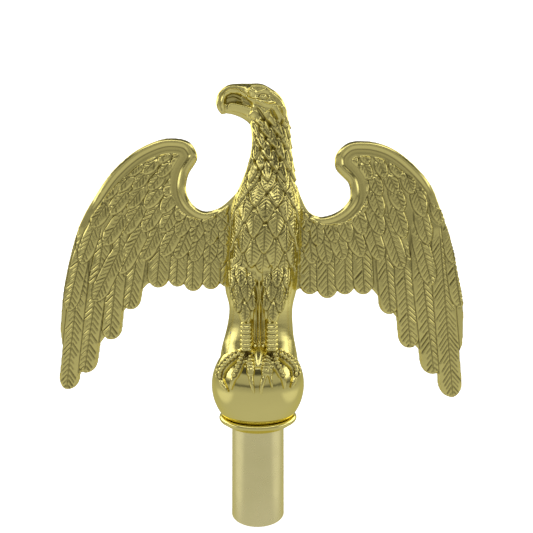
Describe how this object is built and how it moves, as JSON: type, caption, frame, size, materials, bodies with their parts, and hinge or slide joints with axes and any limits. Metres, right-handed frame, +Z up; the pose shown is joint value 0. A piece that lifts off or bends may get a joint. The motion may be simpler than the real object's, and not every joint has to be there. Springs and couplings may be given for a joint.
{
  "type": "eagle flagpole finial",
  "caption": "Perched eagle with spread wings on a ball, with a collar ring and an open ferrule tube that slips over the top of a flagpole.",
  "frame": {"origin": "centre of the ferrule's open bottom, where the pole goes in", "axes": "+Z up along the pole's axis to the eagle, -Y is the front where the breast and feet are, -X is the side that the head looks to"},
  "size_m": [0.2223, 0.0509, 0.2289],
  "materials": {
    "gilt": "polished gold plate",
    "ferrule_brass": "satin",
    "zinc_steel": "zinc plated",
    "nylon": "matte"
  },
  "bodies": {
    "pole_ferrule": {"ferrule": "ferrule_brass", "ferrule_plug": "ferrule_brass", "collar": "gilt"},
    "seat": {"seat_washer": "nylon"},
    "ornament": {"ball": "gilt", "eagle_front": "gilt", "eagle_back": "gilt", "spindle": "zinc_steel", "jam_nut": "zinc_steel", "anchor_nut": "zinc_steel", "locating_pins": "zinc_steel"}
  },
  "joints": [
    {"name": "ornament_lift", "type": "slide", "parent": "pole_ferrule", "child": "seat", "axis": [0, 0, 1], "range_m": [0, 0.00706]},
    {"name": "ornament_turn", "type": "hinge", "parent": "seat", "child": "ornament", "pos_m": [0, 0, 0.0682], "axis": [0, 0, 1], "range_deg": [0, 1800]}
  ],
  "couplings": [
    {"joint": "ornament_lift", "follows": "ornament_turn", "m_per_rad": 0.00022457}
  ]
}
